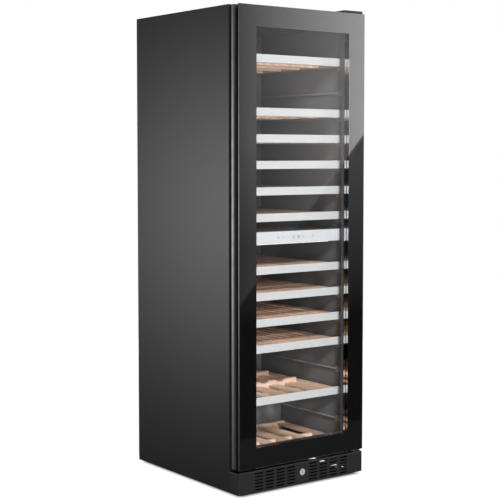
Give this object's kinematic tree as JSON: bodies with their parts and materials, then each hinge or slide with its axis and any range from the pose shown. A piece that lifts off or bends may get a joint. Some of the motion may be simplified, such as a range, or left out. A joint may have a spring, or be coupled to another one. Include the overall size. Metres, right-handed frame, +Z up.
{
  "type": "wine cooler",
  "caption": "Tall free-standing wine cooler: slotted plinth, one dark glass door on a right-hand hinge, two zones with sliding wooden shelves and a panel between.",
  "frame": {"origin": "on the floor, under the middle of the whole cooler's box", "axes": "+X to the right seen from the front, +Y from the door to the back, +Z up"},
  "size_m": [0.595, 0.68, 1.77],
  "materials": {
    "cabinet_paint": "satin black powder coat",
    "grey_frame": "dark grey satin paint on the door's profiles",
    "black_steel": "black painted steel of the base, tray and hinge plates",
    "liner_plastic": "dark grey matt liner",
    "foam": "pale rigid foam, hidden inside the walls",
    "panel_silver": "light silver front of the control panel",
    "black_plastic": "black matt plastic",
    "grey_plastic": "light grey matt plastic of the guides",
    "trim_steel": "brushed steel front trims and runners",
    "beech": "oiled beech",
    "door_glass": "dark tinted glass with a black printed border",
    "clear_glass": "clear insulating panes",
    "bright_aluminium": "bright spacer bars and fins",
    "gasket_rubber": "black soft rubber",
    "bright_steel": "plated steel of the lock",
    "lamp_cover": "milky light diffuser"
  },
  "bodies": {
    "cabinet": {"side_panel_left": "cabinet_paint", "side_panel_right": "cabinet_paint", "top_panel": "cabinet_paint", "back_panel": "black_steel", "underside_panel": "black_steel", "inner_liner": "liner_plastic", "insulation": "foam", "base_frame": "black_steel", "front_feet": "black_plastic", "plinth": "cabinet_paint", "lower_hinge": "black_steel", "upper_hinge": "black_steel", "hinge_cover": "black_plastic", "zone_divider": "liner_plastic", "control_panel": "panel_silver", "duct_covers": "liner_plastic", "shelf_guides": "grey_plastic", "bottom_rack": "beech", "led_strips": "lamp_cover", "evaporators": "bright_aluminium", "fan_motors": "black_plastic", "compressor": "black_steel", "condenser": "bright_aluminium", "control_box": "black_plastic", "power_inlet": "black_plastic", "service_grille": "black_steel"},
    "door": {"grip_profile": "grey_frame", "door_frame": "grey_frame", "front_glass": "door_glass", "inner_panes": "clear_glass", "glazing_spacers": "bright_aluminium", "door_gasket": "gasket_rubber"},
    "shelf_1": {"shelf_rack_1": "beech", "shelf_frame_1": "trim_steel"},
    "shelf_2": {"shelf_rack_2": "beech", "shelf_frame_2": "trim_steel"},
    "shelf_3": {"shelf_rack_3": "beech", "shelf_frame_3": "trim_steel"},
    "shelf_4": {"shelf_rack_4": "beech", "shelf_frame_4": "trim_steel"},
    "shelf_5": {"shelf_rack_5": "beech", "shelf_frame_5": "trim_steel"},
    "shelf_6": {"shelf_rack_6": "beech", "shelf_frame_6": "trim_steel"},
    "shelf_7": {"shelf_rack_7": "beech", "shelf_frame_7": "trim_steel"},
    "shelf_8": {"shelf_rack_8": "beech", "shelf_frame_8": "trim_steel"},
    "shelf_9": {"shelf_rack_9": "beech", "shelf_frame_9": "trim_steel"},
    "shelf_10": {"shelf_rack_10": "beech", "shelf_frame_10": "trim_steel"},
    "shelf_11": {"shelf_rack_11": "beech", "shelf_frame_11": "trim_steel"},
    "lock": {"lock_barrel": "bright_steel"},
    "roller_left": {"rear_roller_left": "black_plastic"},
    "roller_right": {"rear_roller_right": "black_plastic"},
    "upper_fan_wheel": {"upper_fan": "black_plastic"},
    "lower_fan_wheel": {"lower_fan": "black_plastic"},
    "condenser_fan_wheel": {"condenser_fan": "black_plastic"}
  },
  "joints": [
    {"name": "door_swing", "type": "hinge", "parent": "cabinet", "child": "door", "pos_m": [0.286, -0.308, 0.9], "axis": [0, 0, 1], "range_deg": [0, 120]},
    {"name": "shelf_1_slide", "type": "slide", "parent": "cabinet", "child": "shelf_1", "axis": [0, -1, 0], "range_m": [0, 0.3]},
    {"name": "shelf_2_slide", "type": "slide", "parent": "cabinet", "child": "shelf_2", "axis": [0, -1, 0], "range_m": [0, 0.3]},
    {"name": "shelf_3_slide", "type": "slide", "parent": "cabinet", "child": "shelf_3", "axis": [0, -1, 0], "range_m": [0, 0.3]},
    {"name": "shelf_4_slide", "type": "slide", "parent": "cabinet", "child": "shelf_4", "axis": [0, -1, 0], "range_m": [0, 0.3]},
    {"name": "shelf_5_slide", "type": "slide", "parent": "cabinet", "child": "shelf_5", "axis": [0, -1, 0], "range_m": [0, 0.3]},
    {"name": "shelf_6_slide", "type": "slide", "parent": "cabinet", "child": "shelf_6", "axis": [0, -1, 0], "range_m": [0, 0.3]},
    {"name": "shelf_7_slide", "type": "slide", "parent": "cabinet", "child": "shelf_7", "axis": [0, -1, 0], "range_m": [0, 0.3]},
    {"name": "shelf_8_slide", "type": "slide", "parent": "cabinet", "child": "shelf_8", "axis": [0, -1, 0], "range_m": [0, 0.3]},
    {"name": "shelf_9_slide", "type": "slide", "parent": "cabinet", "child": "shelf_9", "axis": [0, -1, 0], "range_m": [0, 0.3]},
    {"name": "shelf_10_slide", "type": "slide", "parent": "cabinet", "child": "shelf_10", "axis": [0, -1, 0], "range_m": [0, 0.3]},
    {"name": "shelf_11_slide", "type": "slide", "parent": "cabinet", "child": "shelf_11", "axis": [0, -1, 0], "range_m": [0, 0.3]},
    {"name": "lock_turn", "type": "hinge", "parent": "cabinet", "child": "lock", "pos_m": [0, -0.32, 0.05], "axis": [0, -1, 0], "range_deg": [0, 90]},
    {"name": "roller_left_spin", "type": "hinge", "parent": "cabinet", "child": "roller_left", "pos_m": [-0.262, 0.242, 0.016], "axis": [1, 0, 0], "continuous": true},
    {"name": "roller_right_spin", "type": "hinge", "parent": "cabinet", "child": "roller_right", "pos_m": [0.262, 0.242, 0.016], "axis": [1, 0, 0], "continuous": true},
    {"name": "upper_fan_spin", "type": "hinge", "parent": "cabinet", "child": "upper_fan_wheel", "pos_m": [0, 0.269, 1.56], "axis": [0, 1, 0], "continuous": true},
    {"name": "lower_fan_spin", "type": "hinge", "parent": "cabinet", "child": "lower_fan_wheel", "pos_m": [0, 0.269, 0.8], "axis": [0, 1, 0], "continuous": true},
    {"name": "condenser_fan_spin", "type": "hinge", "parent": "cabinet", "child": "condenser_fan_wheel", "pos_m": [0.062, 0.25, 0.135], "axis": [1, 0, 0], "continuous": true}
  ],
  "couplings": [
    {"joint": "shelf_1_slide", "follows": "door_swing", "m_per_rad": 0.048},
    {"joint": "shelf_2_slide", "follows": "door_swing", "m_per_rad": 0.048},
    {"joint": "shelf_3_slide", "follows": "door_swing", "m_per_rad": 0.048},
    {"joint": "shelf_4_slide", "follows": "door_swing", "m_per_rad": 0.048},
    {"joint": "shelf_5_slide", "follows": "door_swing", "m_per_rad": 0.048},
    {"joint": "shelf_6_slide", "follows": "door_swing", "m_per_rad": 0.048},
    {"joint": "shelf_7_slide", "follows": "door_swing", "m_per_rad": 0.048},
    {"joint": "shelf_8_slide", "follows": "door_swing", "m_per_rad": 0.048},
    {"joint": "shelf_9_slide", "follows": "door_swing", "m_per_rad": 0.048},
    {"joint": "shelf_10_slide", "follows": "door_swing", "m_per_rad": 0.048},
    {"joint": "shelf_11_slide", "follows": "door_swing", "m_per_rad": 0.048}
  ]
}
